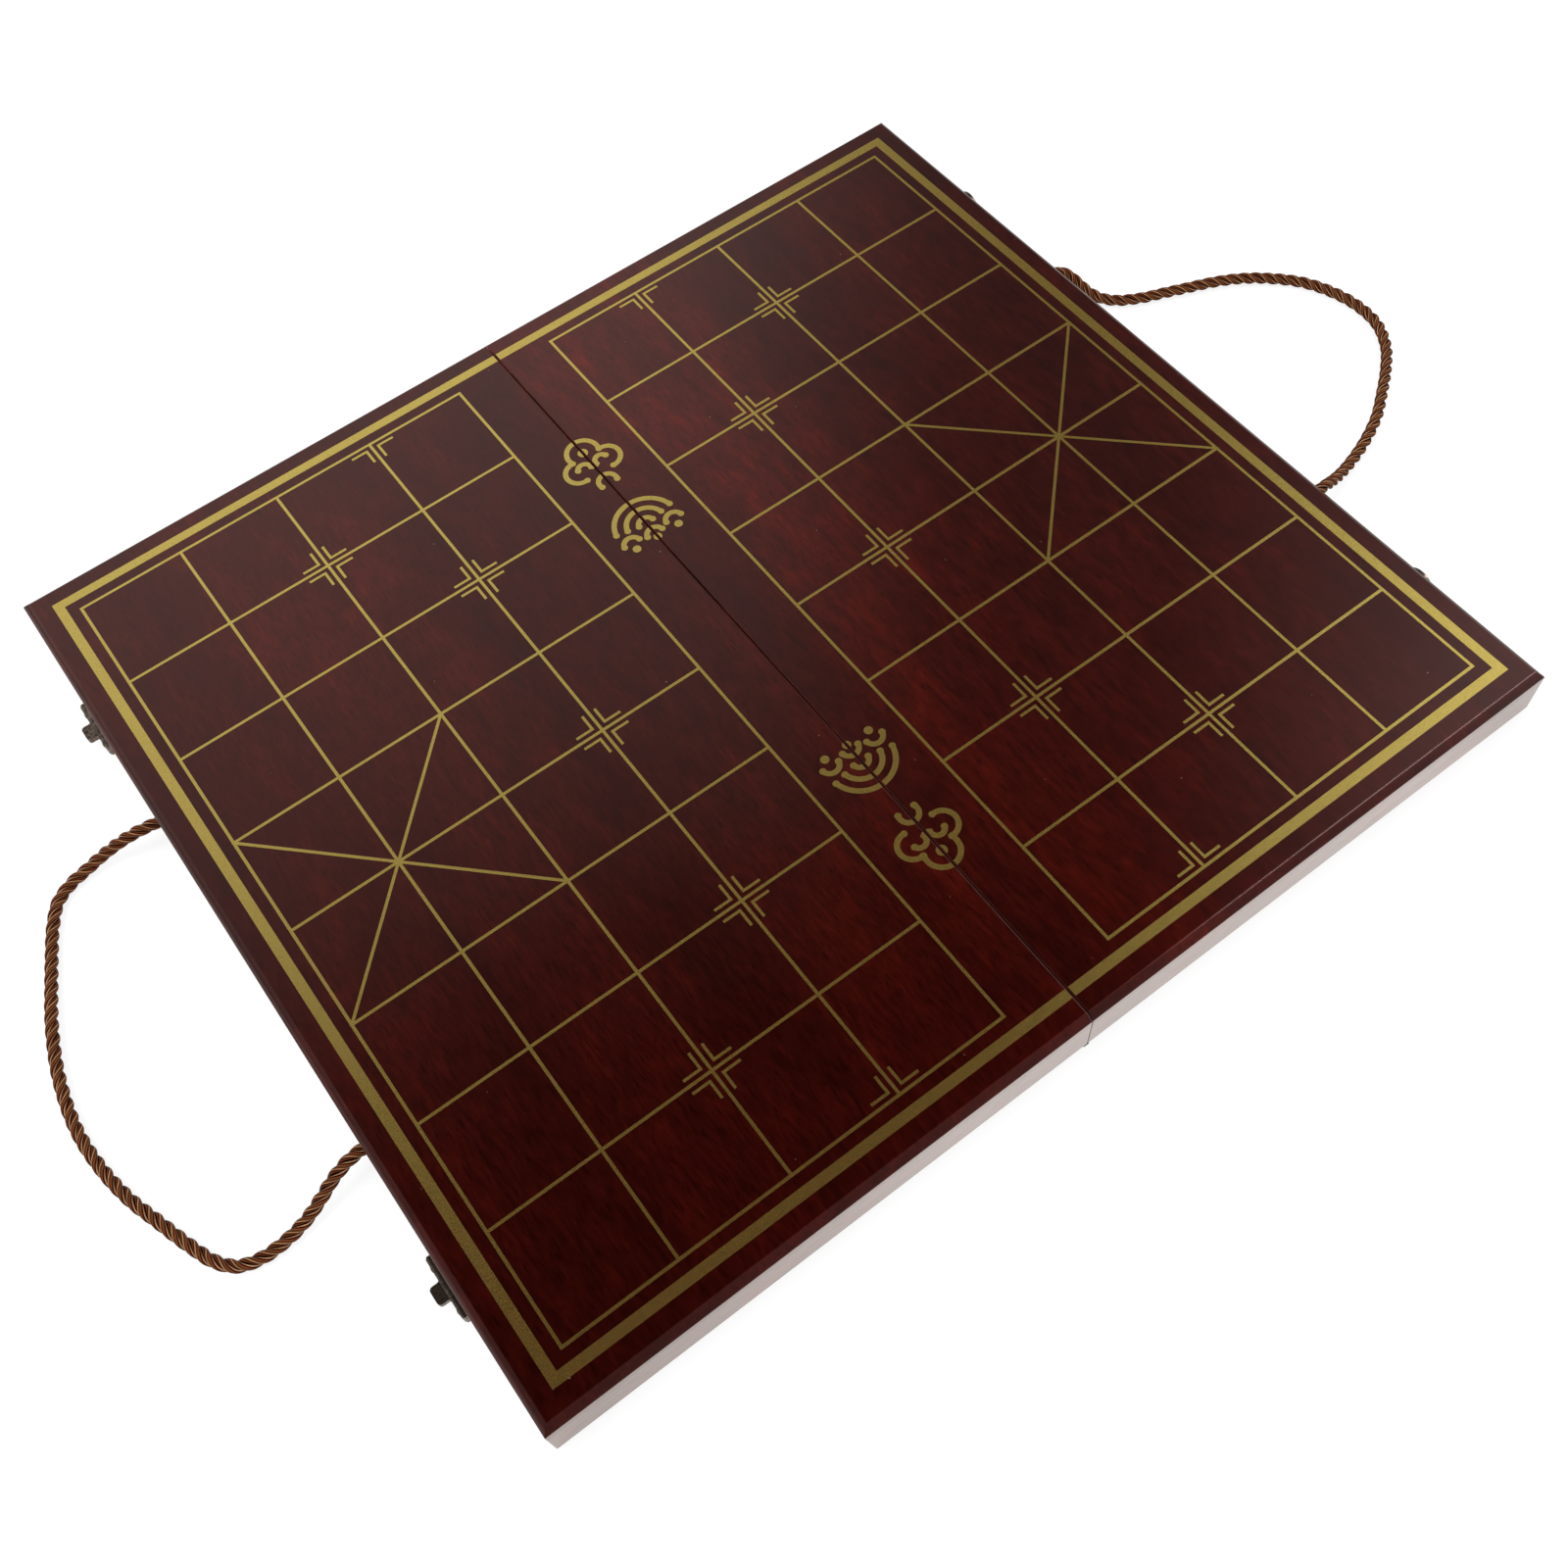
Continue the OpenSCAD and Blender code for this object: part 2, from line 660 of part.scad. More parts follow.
// Leaf on the wall, turned out under the pin into two knuckles
module hasp_base(y) {
    foot_z = hasp_z - barrel_r;
    color(bronze)
    translate([0, y, 0])
    difference() {
        union() {
            translate([half_w, -plate_w / 2, foot_z])
                cube([hasp_t, plate_w, base_h + barrel_r]);
            for (start = [-plate_w / 2, plate_w / 2 - base_knuckle_l]) {
                translate([half_w, start, foot_z]) cube([hasp_out, base_knuckle_l, hasp_t]);
                translate([hasp_x, start, hasp_z]) rotate([-90, 0, 0])
                    cylinder(h = base_knuckle_l, r = barrel_r);
            }
        }
        translate([hasp_x, -plate_w / 2 - over, hasp_z]) rotate([-90, 0, 0])
            cylinder(h = plate_w + 2 * over, r = hasp_pin_r + pin_clear);
        for (dy = [-nail_pitch / 2, nail_pitch / 2])
            translate([half_w - over, dy, hasp_nail_z]) rotate([0, 90, 0])
                cylinder(h = hasp_t + 2 * over, r = nail_r + fastener_clear);
    }
}

module hasp_pin(y) {
    color(steel)
    translate([hasp_x, y - plate_w / 2, hasp_z]) rotate([-90, 0, 0])
        cylinder(h = plate_w, r = hasp_pin_r);
}

// Outline of the flap: X runs along the pin, Y from the pin to the tip
module flap_outline() {
    root = barrel_r + flap_clear;
    difference() {
        union() {
            polygon([
                [-plate_w / 2, root], [plate_w / 2, root], [plate_w / 2, flap_shoulder], tip_point,
                [-tip_point[0], tip_point[1]], [-plate_w / 2, flap_shoulder]
            ]);
            translate([0, tip_v]) circle(tip_r);
            translate([-flap_knuckle_l / 2, 0]) square([flap_knuckle_l, root + over]);
        }
        translate([-slot_w / 2, slot_mid - slot_h / 2]) square([slot_w, slot_h]);
        for (s = [-1, 1])
            translate([s * (flap_knuckle_l / 2 + plate_w / 2), 0]) square([plate_w, 2 * root], center = true);
    }
}

// Slotted flap, folded up against the wall
module hasp_flap(y) {
    color(bronze)
    translate([hasp_x, y, hasp_z])
    difference() {
        union() {
            translate([-flap_offset - hasp_t / 2, 0, 0]) rotate([90, 0, 90])
                linear_extrude(hasp_t) flap_outline();
            translate([0, -flap_knuckle_l / 2, 0]) rotate([-90, 0, 0])
                cylinder(h = flap_knuckle_l, r = barrel_r);
        }
        translate([0, -flap_knuckle_l / 2 - over, 0]) rotate([-90, 0, 0])
            cylinder(h = flap_knuckle_l + 2 * over, r = hasp_pin_r + pin_clear);
    }
}

module rope_handle(side) {
    color(silk)
    if (side < 0) tube(half_route(-1, left_route, 2), rope_d, rope_sides);
    else tube(half_route(1, right_route, 2), rope_d, rope_sides);
}

// Knots against the inner face of the outer wall, flat where they press on it
module rope_knots(side) {
    color(silk)
    on_side(side)
    for (y = [-rope_y, rope_y])
        translate([half_w - wall_t - knot_out, y, rope_z - knot_sag]) rotate([0, 90, 0])
            rotate_extrude()
                intersection() {
                    circle(knot_r);
                    translate([0, -2 * knot_r]) square([2 * knot_r, 2 * knot_r + knot_out]);
                }
}

play_panel(-1);  // left_play_panel
gold_print(-1);  // left_gold_print
outer_wall(-1);  // left_outer_wall
inner_wall(-1);  // left_inner_wall
end_wall(-1, -1);  // left_front_wall
end_wall(-1, 1);  // left_back_wall
lining(-1);  // left_lining
catch_plate(-latch_y);  // front_catch_plate
catch_plate(latch_y);  // back_catch_plate
nails(-1, lug_z, catch_t);  // catch_nails
rope_handle(-1);  // left_rope_handle
rope_knots(-1);  // left_rope_knots
hinge_leaf(-1, -hinge_y, [0, 2, 4]);  // front_hinge_left_leaf
hinge_leaf(-1, hinge_y, [0, 2, 4]);  // back_hinge_left_leaf
hinge_pin(-hinge_y);  // front_hinge_pin
hinge_pin(hinge_y);  // back_hinge_pin
hinge_screws(-1);  // left_hinge_screws
play_panel(1);  // right_play_panel
gold_print(1);  // right_gold_print
outer_wall(1);  // right_outer_wall
inner_wall(1);  // right_inner_wall
end_wall(1, -1);  // right_front_wall
end_wall(1, 1);  // right_back_wall
lining(1);  // right_lining
hasp_base(-latch_y);  // front_hasp_base
hasp_base(latch_y);  // back_hasp_base
hasp_pin(-latch_y);  // front_hasp_pin
hasp_pin(latch_y);  // back_hasp_pin
nails(1, hasp_nail_z, hasp_t);  // hasp_nails
rope_handle(1);  // right_rope_handle
rope_knots(1);  // right_rope_knots
hinge_leaf(1, -hinge_y, [1, 3]);  // front_hinge_right_leaf
hinge_leaf(1, hinge_y, [1, 3]);  // back_hinge_right_leaf
hinge_screws(1);  // right_hinge_screws
hasp_flap(-latch_y);  // front_hasp_flap
hasp_flap(latch_y);  // back_hasp_flap
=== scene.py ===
"""Looks of a folding river-chess box: lacquered wood, gold print, silk rope handles, bronze latches, brass hinges."""
import math
import bpy
import numpy as np
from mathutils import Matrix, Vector


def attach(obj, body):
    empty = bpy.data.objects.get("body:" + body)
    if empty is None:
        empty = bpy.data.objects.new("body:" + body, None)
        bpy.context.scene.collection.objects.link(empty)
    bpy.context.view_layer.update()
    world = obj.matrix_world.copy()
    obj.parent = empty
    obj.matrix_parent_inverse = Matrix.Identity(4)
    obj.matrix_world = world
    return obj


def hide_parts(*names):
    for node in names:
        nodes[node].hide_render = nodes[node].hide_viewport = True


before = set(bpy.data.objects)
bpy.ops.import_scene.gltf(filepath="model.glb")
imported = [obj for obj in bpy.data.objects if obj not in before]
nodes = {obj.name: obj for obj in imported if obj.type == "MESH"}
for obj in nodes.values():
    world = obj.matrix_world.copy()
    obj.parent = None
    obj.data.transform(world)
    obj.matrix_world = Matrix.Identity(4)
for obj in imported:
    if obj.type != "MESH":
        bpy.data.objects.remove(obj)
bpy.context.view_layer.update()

# The opened board, in metres, as in the CAD source
HALF_WIDTH = 0.220
HALF_LENGTH = 0.198
INNER_FACE = 0.211
HOLE_Y = 0.08
HOLE_Z = 0.01285

# Camera, fitted to the crossings of the printed grid in the photo
lens = bpy.data.cameras.new("photo_camera")
lens.lens = 38.7165
lens.sensor_width = 36
lens.clip_start = 0.01
camera = bpy.data.objects.new("photo_camera", lens)
camera.location = (-0.18047, -0.32356, 0.56151)
camera.rotation_euler = [math.radians(a) for a in (29.33083847, 3.55515171, -36.44276913)]
bpy.context.scene.collection.objects.link(camera)
bpy.context.scene.camera = camera
bpy.context.scene.view_settings.view_transform = "Standard"

# Places of the sockets on a Mix node that mixes colours
MIX_FACTOR, MIX_FIRST, MIX_SECOND, MIX_RESULT = 0, 6, 7, 2


class Nodes:
    """Short way to write a node tree: n("Type", {property: value}, Socket=value or output, i0=first socket)."""

    def __init__(self, tree):
        self.tree = tree
        tree.nodes.clear()

    def feed(self, socket, value):
        """Link an output to a socket, or set the socket to a plain value."""
        if isinstance(value, bpy.types.NodeSocket):
            self.tree.links.new(value, socket)
        else:
            socket.default_value = value

    def __call__(self, kind, props=None, **sockets):
        node = self.tree.nodes.new("ShaderNode" + kind)
        for key, value in (props or {}).items():
            setattr(node, key, value)
        for key, value in sockets.items():
            by_place = key[0] == "i" and key[1:].isdigit()
            self.feed(node.inputs[int(key[1:]) if by_place else key.replace("_", " ")], value)
        return node

    def math(self, op, a, b=0.0, c=0.0, clamp=False):
        return self("Math", {"operation": op, "use_clamp": clamp}, i0=a, i1=b, i2=c).outputs[0]

    def ramp(self, value, *stops):
        """Colour ramp of stops, each a place and a colour or a grey level."""
        node = self("ValToRGB", None, Fac=value)
        ramp = node.color_ramp
        while len(ramp.elements) < len(stops):
            ramp.elements.new(0.5)
        for element, (place, colour) in zip(ramp.elements, stops):
            element.position = place
            element.color = (*colour, 1) if isinstance(colour, tuple) else (colour, colour, colour, 1)
        return node.outputs["Color"]

    def mix(self, factor, a, b, how="MIX"):
        node = self("Mix", {"data_type": "RGBA", "blend_type": how})
        for place, value in ((MIX_FACTOR, factor), (MIX_FIRST, a), (MIX_SECOND, b)):
            self.feed(node.inputs[place], (*value, 1) if isinstance(value, tuple) else value)
        return node.outputs[MIX_RESULT]

    def times(self, a, b, much=1.0):
        """The first colour multiplied by the second."""
        return self.mix(much, a, b, "MULTIPLY")

    def noise(self, vector, detail=2.0, rough=0.5):
        return self("TexNoise", None, Vector=vector, Scale=1.0, Detail=detail, Roughness=rough).outputs["Fac"]

    def parts(self, vector):
        """The outputs X, Y and Z of a vector."""
        return self("SeparateXYZ", None, Vector=vector).outputs

    def place(self):
        """Object coordinates, in metres, as the outputs X, Y and Z."""
        return self.parts(self("TexCoord").outputs["Object"])

    def spread(self, scale, shift=(0, 0, 0)):
        """Object coordinates, in metres, scaled evenly or along each axis."""
        scale = scale if isinstance(scale, tuple) else (scale, scale, scale)
        coordinates = self("TexCoord").outputs["Object"]
        return self("Mapping", None, Vector=coordinates, Scale=scale, Location=shift).outputs[0]

    def bump(self, height, strength, distance, **more):
        return self("Bump", None, Height=height, Strength=strength, Distance=distance, **more).outputs[0]


def material(name):
    """A new material with a Principled shader: the material, its nodes and the shader."""
    made = bpy.data.materials.new(name)
    made.use_nodes = True
    n = Nodes(made.node_tree)
    out = n("OutputMaterial")
    shader = n("BsdfPrincipled")
    made.node_tree.links.new(shader.outputs[0], out.inputs["Surface"])
    return made, n, shader


def link(n, shader, **outputs):
    """Link outputs to the shader's sockets of these names."""
    for key, output in outputs.items():
        n.tree.links.new(output, shader.inputs[key.replace("_", " ")])


def settle(shader, **values):
    """Set the shader's sockets that are the same all over the surface."""
    for key, value in values.items():
        shader.inputs[key.replace("_", " ")].default_value = value


def dress(names, made):
    """Give CAD nodes their material."""
    for name in names:
        mesh = nodes[name].data
        mesh.materials.clear()
        mesh.materials.append(made)


# Rope handles. The routes are those of the CAD source, in millimetres.
LEFT_ROUTE = [
    (-211, 80, 12.85), (-222, 80, 12.85),
    (-228, 81, 12.7), (-236, 83, 10.2), (-244, 85, 6.2), (-252, 85, 3.7),
    (-260, 83.5, 3.0), (-267, 79.5, 3.0), (-273, 71, 3.0), (-278, 61, 3.0),
    (-283, 50, 3.2), (-290, 33, 3.95), (-296, 14, 3.5), (-299, -7, 3.2),
    (-298, -25, 3.5), (-294.5, -42, 3.95), (-290, -55, 3.95), (-285, -69, 3.2),
    (-280.5, -79, 3.0), (-275, -85, 3.0), (-267.5, -87.5, 3.0), (-258, -87.5, 3.2),
    (-249, -86, 4.4), (-241, -84, 7.6), (-234, -82, 10.9), (-227, -80.5, 12.7),
    (-222, -80, 12.85), (-211, -80, 12.85),
]
RIGHT_ROUTE = [
    (211, 80, 12.85), (222, 80, 12.85),
    (227, 79.5, 12.2), (231, 77.5, 9.6), (233.5, 73.5, 6.6), (235, 68.5, 4.3),
    (237, 63, 3.3), (239.5, 59, 3.2), (243, 55.5, 3.2), (247.5, 52.5, 3.3),
    (253, 49.5, 3.4), (260, 46.5, 3.5), (270, 42, 3.7), (283, 36, 3.95),
    (293, 30, 3.95), (303, 22.5, 3.2), (312, 12, 3.0), (317.5, 0, 3.0),
    (320, -13, 3.0), (318.5, -26, 3.0), (312, -37.5, 3.0), (302, -47, 3.5),
    (290, -56, 3.95), (279, -63.5, 3.9), (266, -69.5, 3.2), (254, -73.5, 3.4),
    (245, -76, 5.0), (237, -78, 8.4), (230, -79.5, 12.0),
    (222, -80, 12.85), (211, -80, 12.85),
]
ROPE_D = 0.005
ROPE_LAY = 0.0158
KNOT_D = 0.004
KNOT_LAY = 0.0125
KNOT_TURNS = 2.4
KNOT_DROP = 0.0014
WHIPPING_R = 0.00215
WHIPPING_POINTS = 7
STRANDS = 3
STRAND_OUT = 0.268
STRAND_R = 0.232
STEP = 0.0006
UV_PER_METRE = 100
UV_BETWEEN_TUBES = 7.3


def distances(line):
    """Distance along the line to each of its points."""
    return np.concatenate([[0], np.cumsum(np.linalg.norm(np.diff(line, axis=0), axis=1))])


def tangents(line):
    tangent = np.gradient(line, axis=0)
    return tangent / np.linalg.norm(tangent, axis=1, keepdims=True)


def smooth_route(points):
    """Points every STEP along a centripetal spline through the route's points, given in millimetres."""
    p = np.array(points, float) / 1000
    ext = np.vstack([2 * p[0] - p[1], p, 2 * p[-1] - p[-2]])
    t = np.concatenate([[0], np.cumsum(np.linalg.norm(np.diff(ext, axis=0), axis=1) ** 0.5)])
    dense = []
    for i in range(1, len(ext) - 2):
        t0, t1, t2, t3 = t[i - 1:i + 3]
        u = np.linspace(t1, t2, 40, endpoint=False)[:, None]
        a1 = (t1 - u) / (t1 - t0) * ext[i - 1] + (u - t0) / (t1 - t0) * ext[i]
        a2 = (t2 - u) / (t2 - t1) * ext[i] + (u - t1) / (t2 - t1) * ext[i + 1]
        a3 = (t3 - u) / (t3 - t2) * ext[i + 1] + (u - t2) / (t3 - t2) * ext[i + 2]
        b1 = (t2 - u) / (t2 - t0) * a1 + (u - t0) / (t2 - t0) * a2
        b2 = (t3 - u) / (t3 - t1) * a2 + (u - t1) / (t3 - t1) * a3
        dense.append((t2 - u) / (t2 - t1) * b1 + (u - t1) / (t2 - t1) * b2)
    dense = np.vstack(dense + [p[-1:]])
    s = distances(dense)
    at = np.linspace(0, s[-1], max(2, int(round(s[-1] / STEP)) + 1))
    return np.column_stack([np.interp(at, s, dense[:, k]) for k in range(3)])


def carried_frames(line):
    """Two vectors across the line, carried along it without twist."""
    tangent = tangents(line)
    side = np.array((0, 0, 1), float)
    sides = []
    for t in tangent:
        side = side - t * (side @ t)
        side /= np.linalg.norm(side)
        sides.append(side.copy())
    sides = np.array(sides)
    return sides, np.cross(tangent, sides)


def tube_mesh(name, tubes, sides):
    """One mesh of closed tubes. Each tube is (centre line, radii, outward vectors): U runs along it, V round it."""
    verts, faces, uvs, base = [], [], [], 0
    for number, (line, radius, outward) in enumerate(tubes):
        tangent = tangents(line)
        out = outward - tangent * (outward * tangent).sum(1, keepdims=True)
        out /= np.linalg.norm(out, axis=1, keepdims=True)
        across = np.cross(tangent, out)
        along = distances(line)
        count = len(line)
        u_shift = number * UV_BETWEEN_TUBES
        for k in range(sides):
            a = 2 * math.pi * k / sides
            verts.append(line + radius[:, None] * (math.cos(a) * out + math.sin(a) * across))
        for k in range(sides):
            k2 = (k + 1) % sides
            for i in range(count - 1):
                a, b = base + k * count + i, base + k2 * count + i
                faces.append((a, b, b + 1, a + 1))
                v0, v1 = k / sides, (k + 1) / sides
                u0, u1 = along[i] * UV_PER_METRE + u_shift, along[i + 1] * UV_PER_METRE + u_shift
                uvs += [(u0, v0), (u0, v1), (u1, v1), (u1, v0)]
        first = [base + k * count for k in range(sides)]
        last = [base + k * count + count - 1 for k in range(sides)]
        faces.append(tuple(reversed(first)))
        uvs += [(u_shift, 0.5)] * sides
        faces.append(tuple(last))
        uvs += [(along[-1] * UV_PER_METRE + u_shift, 0.5)] * sides
        base += sides * count
    mesh = bpy.data.meshes.new(name)
    mesh.from_pydata([tuple(v) for v in np.vstack(verts)], [], faces)
    layer = mesh.uv_layers.new(name="thread")
    layer.data.foreach_set("uv", np.array(uvs, np.float32).ravel())
    mesh.polygons.foreach_set("use_smooth", [True] * len(mesh.polygons))
    mesh.update()
    made = bpy.data.objects.new(name, mesh)
    bpy.context.scene.collection.objects.link(made)
    return made


def twisted(line, diameter, lay):
    """Three strands laid round a line, right-handed: (line, radii, outward) of each."""
    side, up = carried_frames(line)
    along = distances(line)
    strands = []
    for k in range(STRANDS):
        turn = 2 * math.pi * (along / lay + k / STRANDS)
        outward = np.cos(turn)[:, None] * side + np.sin(turn)[:, None] * up
        centre = line + outward * (STRAND_OUT * diameter)
        strands.append((centre, np.full(len(line), STRAND_R * diameter), outward))
    return strands


def knot_line(side, y):
    """Stopper knot: the core runs into the tray, turns back and winds round itself towards the wall."""
    wall, centre_z = side * INNER_FACE, HOLE_Z - KNOT_DROP
    points = [
        (wall + side * 0.001, y, HOLE_Z),
        (wall - side * 0.003, y, HOLE_Z - 0.0007),
        (wall - side * 0.0072, y, centre_z),
    ]
    turn_r, far_depth, near_depth = 0.0039, 0.0088, 0.0022
    count = 34
    for i in range(count + 1):
        f = i / count
        angle = math.pi / 2 - 2 * math.pi * KNOT_TURNS * f
        swell = turn_r * (0.55 + 0.45 * min(1, f * 6))
        depth = far_depth + (near_depth - far_depth) * f
        points.append((wall - side * depth, y + swell * math.cos(angle), centre_z + swell * math.sin(angle)))
    return [tuple(1000 * v for v in q) for q in points]


def tail_line(side, y):
    """The rope's end, let out of the knot's far side and drooping a little."""
    wall, z = side * INNER_FACE, HOLE_Z - KNOT_DROP
    steps = [(0.0072, 0.0012, 0), (0.0100, 0.0020, -0.0006), (0.0130, 0.0030, -0.0016), (0.0165, 0.0036, -0.0031)]
    return [(1000 * (wall - side * a), 1000 * (y + b), 1000 * (z + c)) for a, b, c in steps]


# V runs once round a strand: its outer side is at 0.2 to 0.8 here, its inner side is hidden in the twist
silk, n, shader = material("silk_rope")
uv = n("TexCoord").outputs["UV"]
fibres = n.noise(n("Mapping", None, Vector=uv, Scale=(1.6, 46.0, 1)).outputs[0], 3.0, 0.65)
drift = n.noise(n("Mapping", None, Vector=uv, Scale=(0.9, 0.0, 1)).outputs[0])
round_strand = n.math("FRACT", n.math("ADD", n.parts(uv)["Y"], n.math("MULTIPLY_ADD", drift, 0.22, 0.39)))
# Colours round a strand. Towards its inner sides it darkens to near black: painted shade where the strands press
# together. The thin bright threads are partly coloured yarn and partly painted highlight; darker yarns lie between
# them.
tone = n.ramp(
    round_strand,
    (0.200, (0.004, 0.0008, 0.0005)),
    (0.228, (0.040, 0.0110, 0.0050)),
    (0.250, (0.68, 0.355, 0.190)),
    (0.286, (0.70, 0.370, 0.200)),
    (0.310, (0.028, 0.003, 0.0015)),
    (0.375, (0.022, 0.003, 0.0015)),
    (0.395, (0.250, 0.060, 0.0190)),
    (0.440, (0.300, 0.078, 0.0250)),
    (0.460, (0.022, 0.003, 0.0015)),
    (0.488, (0.120, 0.060, 0.0160)),
    (0.520, (0.080, 0.037, 0.0100)),
    (0.538, (0.022, 0.003, 0.0015)),
    (0.558, (0.60, 0.28, 0.135)),
    (0.590, (0.62, 0.295, 0.145)),
    (0.614, (0.022, 0.003, 0.0015)),
    (0.665, (0.040, 0.007, 0.0030)),
    (0.692, (0.210, 0.052, 0.0170)),
    (0.732, (0.160, 0.038, 0.0120)),
    (0.756, (0.014, 0.002, 0.0010)),
    (0.800, (0.004, 0.0008, 0.0005)),
)
YARNS_ROUND_STRAND = 11
yarns = n.math("SINE", n.math("MULTIPLY", round_strand, 2 * math.pi * YARNS_ROUND_STRAND))
height = n.math("ADD", n.math("MULTIPLY", yarns, 0.5), n.math("MULTIPLY", fibres, 0.6))
link(
    n, shader,
    Base_Color=n.times(tone, n.ramp(fibres, (0.38, 0.25), (0.60, 1.0)), 0.8),
    Normal=n.bump(height, 0.6, 0.00016),
    Roughness=n.ramp(fibres, (0.2, 0.26), (0.8, 0.42)),
)
settle(shader, Specular_IOR_Level=0.18, Specular_Tint=(1.0, 0.38, 0.16, 1))

whip, n, shader = material("rope_whipping")
THREAD_TURNS = 28
turns = n.math("SINE", n.math("MULTIPLY", n.parts(n("TexCoord").outputs["UV"])["X"], 2 * math.pi * THREAD_TURNS))
# The thread is coloured darker between its turns: painted shade in the grooves, following the same turns as the bump.
thread = n.ramp(n.math("MULTIPLY_ADD", turns, 0.5, 0.5), (0.1, (0.05, 0.012, 0.006)), (0.9, (0.20, 0.06, 0.025)))
link(n, shader, Base_Color=thread, Normal=n.bump(turns, 0.8, 0.0001))
settle(shader, Roughness=0.42, Sheen_Weight=0.3)

for half, side, route in (("left", -1, LEFT_ROUTE), ("right", 1, RIGHT_ROUTE)):
    line = smooth_route(route)
    knots, whippings = [], []
    for y in (HOLE_Y, -HOLE_Y):
        tail = smooth_route(tail_line(side, y))
        knots += twisted(smooth_route(knot_line(side, y)), KNOT_D, KNOT_LAY) + twisted(tail, KNOT_D, KNOT_LAY)
        end = tail[-WHIPPING_POINTS:]
        whippings.append((end, np.full(len(end), WHIPPING_R), carried_frames(end)[0]))
    rope = tube_mesh(half + "_twisted_rope", twisted(line, ROPE_D, ROPE_LAY), 12)
    tied = tube_mesh(half + "_tied_knots", knots, 10)
    bound = tube_mesh(half + "_rope_whippings", whippings, 20)
    for piece, made in ((rope, silk), (tied, silk), (bound, whip)):
        piece.data.materials.append(made)
        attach(piece, half + "_half")
    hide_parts(half + "_rope_handle")
    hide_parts(half + "_rope_knots")

# Wood
# Colour by facing. Sloped and upright faces are coloured lighter and redder than flat tops (BEVEL_TONE). The upright
# sides of the panels are coloured far lighter still: a painted reflection, so that they look like the walls, which
# reflect the floor.
BEVEL_TONE = (1.7, 1.5, 1.4)
PANEL_SIDE_PAINTED_REFLECTION = (5.0, 16.0, 20.0)


def lacquered(name, along, shift, tones, coat_ior, tint, panel=False, streak=False):
    """Dark red-brown veneer under clear gloss lacquer, with its grain along X or Y."""
    made, n, shader = material(name)

    def grain(across, lengthwise):
        return n.spread((lengthwise, across, across) if along == "X" else (across, lengthwise, across), shift)

    wander = n.noise(grain(14, 6))
    sway = n("CombineXYZ", None, X=wander, Y=wander, Z=0.0).outputs[0]

    def figure(across, lengthwise, much, detail, rough):
        """Noise stretched along the grain, which sways it."""
        moved = n("VectorMath", {"operation": "SCALE"}, i0=sway, Scale=much).outputs[0]
        swayed = n("VectorMath", {"operation": "ADD"}, i0=grain(across, lengthwise), i1=moved).outputs[0]
        return n.noise(swayed, detail, rough)

    bands = figure(26, 5, 0.6, 2.0, 0.5)
    mottle = figure(150, 42, 1.5, 4.0, 0.65)
    fine = figure(620, 110, 3.0, 3.0, 0.65)
    pores = figure(1500, 210, 5.0, 2.0, 0.6)
    red_fleck = figure(85, 38, 1.6, 2.0, 0.5)
    body = n.math("ADD", n.math("MULTIPLY", bands, 0.34), n.math("MULTIPLY", mottle, 0.34))
    body = n.math("ADD", body, n.math("MULTIPLY", fine, 0.32))
    colour = n.times(n.ramp(body, *tones), n.ramp(pores, (0.36, 0.25), (0.42, 1.0)), 0.85)
    colour = n.times(colour, n.ramp(red_fleck, (0.50, 0.95), (0.68, (1.34, 1.20, 1.15))))

    # Upright panel sides get the painted reflection; sloped faces, and the walls' upright sides, get the lighter and
    # redder bevel tone.
    facing_up = n.math("ABSOLUTE", n.parts(n("TexCoord").outputs["Normal"])["Z"])
    side_tone = PANEL_SIDE_PAINTED_REFLECTION if panel else BEVEL_TONE
    by_facing = n.ramp(facing_up, (0.30, side_tone), (0.60, BEVEL_TONE), (0.88, BEVEL_TONE), (0.96, 1.0))
    colour = n.times(colour, by_facing)
    if panel:
        # The panels are coloured darker at the front and lighter and redder towards the back.
        darker_front_lighter_back = n.ramp(
            n.math("MULTIPLY_ADD", n.place()["Y"], 2.5, 0.5),
            (0.025, 0.84), (0.425, (1.06, 1.04, 1.02)), (0.65, (1.10, 1.06, 1.04)),
            (0.775, (1.27, 1.15, 1.10)), (0.975, (1.30, 1.18, 1.12)),
        )
        colour = n.times(colour, darker_front_lighter_back)
    if streak:
        swaying_x = n.math("MULTIPLY_ADD", wander, 0.06, n.place()["X"])
        redder = n.ramp(
            n.math("MULTIPLY", swaying_x, 5.0),
            (0.12, 1.0), (0.30, (1.5, 1.2, 1.1)), (0.52, (1.5, 1.2, 1.1)), (0.72, 1.0),
        )
        colour = n.times(colour, redder)
    if panel:
        cells = n("TexVoronoi", {"voronoi_dimensions": "2D"}, Vector=n.spread(30, shift), Scale=1.0).outputs
        chosen = n.math("MAXIMUM", n.math("SUBTRACT", n.parts(cells["Color"])["X"], 0.6), 0.0)
        dust = n.math("LESS_THAN", cells["Distance"], n.math("MULTIPLY", chosen, 0.016))
        colour = n.mix(dust, colour, (0.26, 0.22, 0.20))

    edge = n("Bevel", {"samples": 4}, Radius=0.0006).outputs[0]
    link(
        n, shader,
        Base_Color=colour,
        Roughness=n.ramp(fine, (0.3, 0.30), (0.7, 0.42)),
        Coat_Normal=n.bump(n.noise(n.spread(70, shift)), 0.05, 0.0004, Normal=edge),
        Normal=n.bump(pores, 0.10, 0.0001, Normal=edge),
    )
    settle(
        shader, IOR=1.5, Coat_Weight=1.0, Coat_Roughness=0.04, Coat_IOR=coat_ior,
        Specular_IOR_Level=0.62, Specular_Tint=(*tint, 1),
    )
    return made


